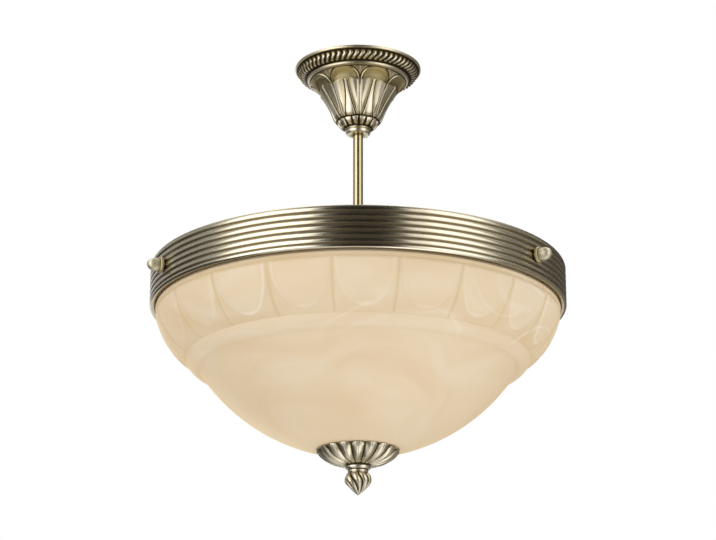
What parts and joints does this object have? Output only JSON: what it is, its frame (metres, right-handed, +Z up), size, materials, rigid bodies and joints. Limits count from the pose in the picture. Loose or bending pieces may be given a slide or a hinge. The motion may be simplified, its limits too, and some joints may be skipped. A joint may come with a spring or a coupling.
{
  "type": "semi-flush ceiling light",
  "caption": "Semi-flush ceiling light: fluted bell canopy, short tube, reeded brass pan and an alabaster-tinted pressed glass bowl held by thumb screws, with a leaf cup and bud finial.",
  "frame": {"origin": "on the ceiling, on the axis of the tube, in the face of the ceiling bracket", "axes": "+Z up into the ceiling, along the tube; +X along the ceiling bracket; the pictured side looks along -Y"},
  "size_m": [0.408, 0.4207, 0.4402],
  "materials": {
    "zinc_steel": "zinc plated sheet and screws",
    "antique_brass": "satin antique bronze over brass, light lacquer",
    "screw_brass": "bare bright brass",
    "nickel": "bright cap of a bulb",
    "alabaster_glass": "opal pressed glass with an alabaster tint, satin outside",
    "bulb_glass": "frosted white",
    "porcelain": "white glazed",
    "nylon": "natural white nylon",
    "black_rubber": "soft black rubber",
    "flex_sheath": "white PVC flex",
    "core_insulation": "coloured PVC insulation"
  },
  "bodies": {
    "fixture": {"ceiling_bracket": "zinc_steel", "earth_screw": "zinc_steel", "terminal_block": "nylon", "terminal_clamp_screws": "screw_brass", "terminal_block_screw": "zinc_steel", "tube_washer_upper": "zinc_steel", "tube_nut_upper": "zinc_steel", "tube_nut_lower": "zinc_steel", "tube": "antique_brass", "tube_bush_upper": "nylon", "tube_bush_lower": "nylon", "pan": "antique_brass", "pan_cap_nut": "antique_brass", "star_bracket": "zinc_steel", "pan_washer": "zinc_steel", "pan_nut": "zinc_steel", "thumb_bosses": "zinc_steel", "lampholder_front": "porcelain", "lampholder_right": "porcelain", "lampholder_left": "porcelain", "lampholder_shells": "screw_brass", "lampholder_contacts": "screw_brass", "lampholder_nipples": "zinc_steel", "lampholder_nuts": "zinc_steel", "flex_in_tube": "flex_sheath", "terminal_cores": "core_insulation", "lampholder_leads": "flex_sheath"},
    "canopy": {"canopy": "antique_brass", "canopy_collar": "antique_brass"},
    "set_screw": {"collar_set_screw": "zinc_steel"},
    "thumb_tip_left": {"thumb_tip_left": "nylon"},
    "thumb_screw_left": {"thumb_screw_left": "zinc_steel", "thumb_knob_left": "antique_brass"},
    "thumb_tip_right": {"thumb_tip_right": "nylon"},
    "thumb_screw_right": {"thumb_screw_right": "zinc_steel", "thumb_knob_right": "antique_brass"},
    "thumb_tip_rear": {"thumb_tip_rear": "nylon"},
    "thumb_screw_rear": {"thumb_screw_rear": "zinc_steel", "thumb_knob_rear": "antique_brass"},
    "bulb_contact_front": {"bulb_contact_front": "nickel"},
    "bulb_front": {"bulb_cap_front": "nickel", "bulb_glass_front": "bulb_glass"},
    "bulb_contact_right": {"bulb_contact_right": "nickel"},
    "bulb_right": {"bulb_cap_right": "nickel", "bulb_glass_right": "bulb_glass"},
    "bulb_contact_left": {"bulb_contact_left": "nickel"},
    "bulb_left": {"bulb_cap_left": "nickel", "bulb_glass_left": "bulb_glass"},
    "bowl": {"glass_bowl": "alabaster_glass", "finial_stud": "zinc_steel", "finial_nut_inner": "zinc_steel", "finial_washer": "zinc_steel", "finial_pad_inner": "black_rubber", "finial_pad_outer": "black_rubber", "finial_nut_outer": "zinc_steel"},
    "finial_cup": {"finial_cup": "antique_brass", "finial_ring": "antique_brass"},
    "finial_bud": {"finial_bud": "antique_brass"}
  },
  "joints": [
    {"name": "canopy_slide", "type": "slide", "parent": "fixture", "child": "canopy", "axis": [0, 0, -1], "range_m": [0, 0.12]},
    {"name": "set_screw_turn", "type": "hinge", "parent": "canopy", "child": "set_screw", "pos_m": [0.00688, 0.00983, -0.0685], "axis": [0.5736, 0.8192, 0], "range_deg": [0, 540]},
    {"name": "bowl_drop", "type": "slide", "parent": "fixture", "child": "bowl", "axis": [0, 0, -1], "range_m": [0, 0.08]},
    {"name": "thumb_left_travel", "type": "slide", "parent": "fixture", "child": "thumb_tip_left", "axis": [-0.9063, -0.4226, 0], "range_m": [0, 0.004]},
    {"name": "thumb_left_turn", "type": "hinge", "parent": "thumb_tip_left", "child": "thumb_screw_left", "pos_m": [-0.18489, -0.08621, -0.2366], "axis": [-0.9063, -0.4226, 0], "range_deg": [0, 1800]},
    {"name": "thumb_right_travel", "type": "slide", "parent": "fixture", "child": "thumb_tip_right", "axis": [0.8192, -0.5736, 0], "range_m": [0, 0.004]},
    {"name": "thumb_right_turn", "type": "hinge", "parent": "thumb_tip_right", "child": "thumb_screw_right", "pos_m": [0.16711, -0.11701, -0.2366], "axis": [0.8192, -0.5736, 0], "range_deg": [0, 1800]},
    {"name": "thumb_rear_travel", "type": "slide", "parent": "fixture", "child": "thumb_tip_rear", "axis": [0.0872, 0.9962, 0], "range_m": [0, 0.004]},
    {"name": "thumb_rear_turn", "type": "hinge", "parent": "thumb_tip_rear", "child": "thumb_screw_rear", "pos_m": [0.01778, 0.20322, -0.2366], "axis": [0.0872, 0.9962, 0], "range_deg": [0, 1800]},
    {"name": "bulb_front_travel", "type": "slide", "parent": "fixture", "child": "bulb_contact_front", "axis": [-0.0872, -0.9962, 0], "range_m": [0, 0.0216]},
    {"name": "bulb_front_turn", "type": "hinge", "parent": "bulb_contact_front", "child": "bulb_front", "pos_m": [-0.00697, -0.0797, -0.2516], "axis": [-0.0872, -0.9962, 0], "range_deg": [0, 2160]},
    {"name": "bulb_right_travel", "type": "slide", "parent": "fixture", "child": "bulb_contact_right", "axis": [0.9063, 0.4226, 0], "range_m": [0, 0.0216]},
    {"name": "bulb_right_turn", "type": "hinge", "parent": "bulb_contact_right", "child": "bulb_right", "pos_m": [0.07251, 0.03381, -0.2516], "axis": [0.9063, 0.4226, 0], "range_deg": [0, 2160]},
    {"name": "bulb_left_travel", "type": "slide", "parent": "fixture", "child": "bulb_contact_left", "axis": [-0.8192, 0.5736, 0], "range_m": [0, 0.0216]},
    {"name": "bulb_left_turn", "type": "hinge", "parent": "bulb_contact_left", "child": "bulb_left", "pos_m": [-0.06553, 0.04589, -0.2516], "axis": [-0.8192, 0.5736, 0], "range_deg": [0, 2160]},
    {"name": "finial_travel", "type": "slide", "parent": "bowl", "child": "finial_cup", "axis": [0, 0, -1], "range_m": [0, 0.01]},
    {"name": "finial_turn", "type": "hinge", "parent": "finial_cup", "child": "finial_bud", "pos_m": [0, 0, -0.42], "axis": [0, 0, -1], "range_deg": [0, 2880]}
  ],
  "couplings": [
    {"joint": "thumb_left_turn", "follows": "thumb_left_travel", "rad_per_m": 7854},
    {"joint": "thumb_right_turn", "follows": "thumb_right_travel", "rad_per_m": 7854},
    {"joint": "thumb_rear_turn", "follows": "thumb_rear_travel", "rad_per_m": 7854},
    {"joint": "bulb_front_turn", "follows": "bulb_front_travel", "rad_per_m": 1745.3},
    {"joint": "bulb_right_turn", "follows": "bulb_right_travel", "rad_per_m": 1745.3},
    {"joint": "bulb_left_turn", "follows": "bulb_left_travel", "rad_per_m": 1745.3},
    {"joint": "finial_turn", "follows": "finial_travel", "rad_per_m": 5026.5}
  ]
}
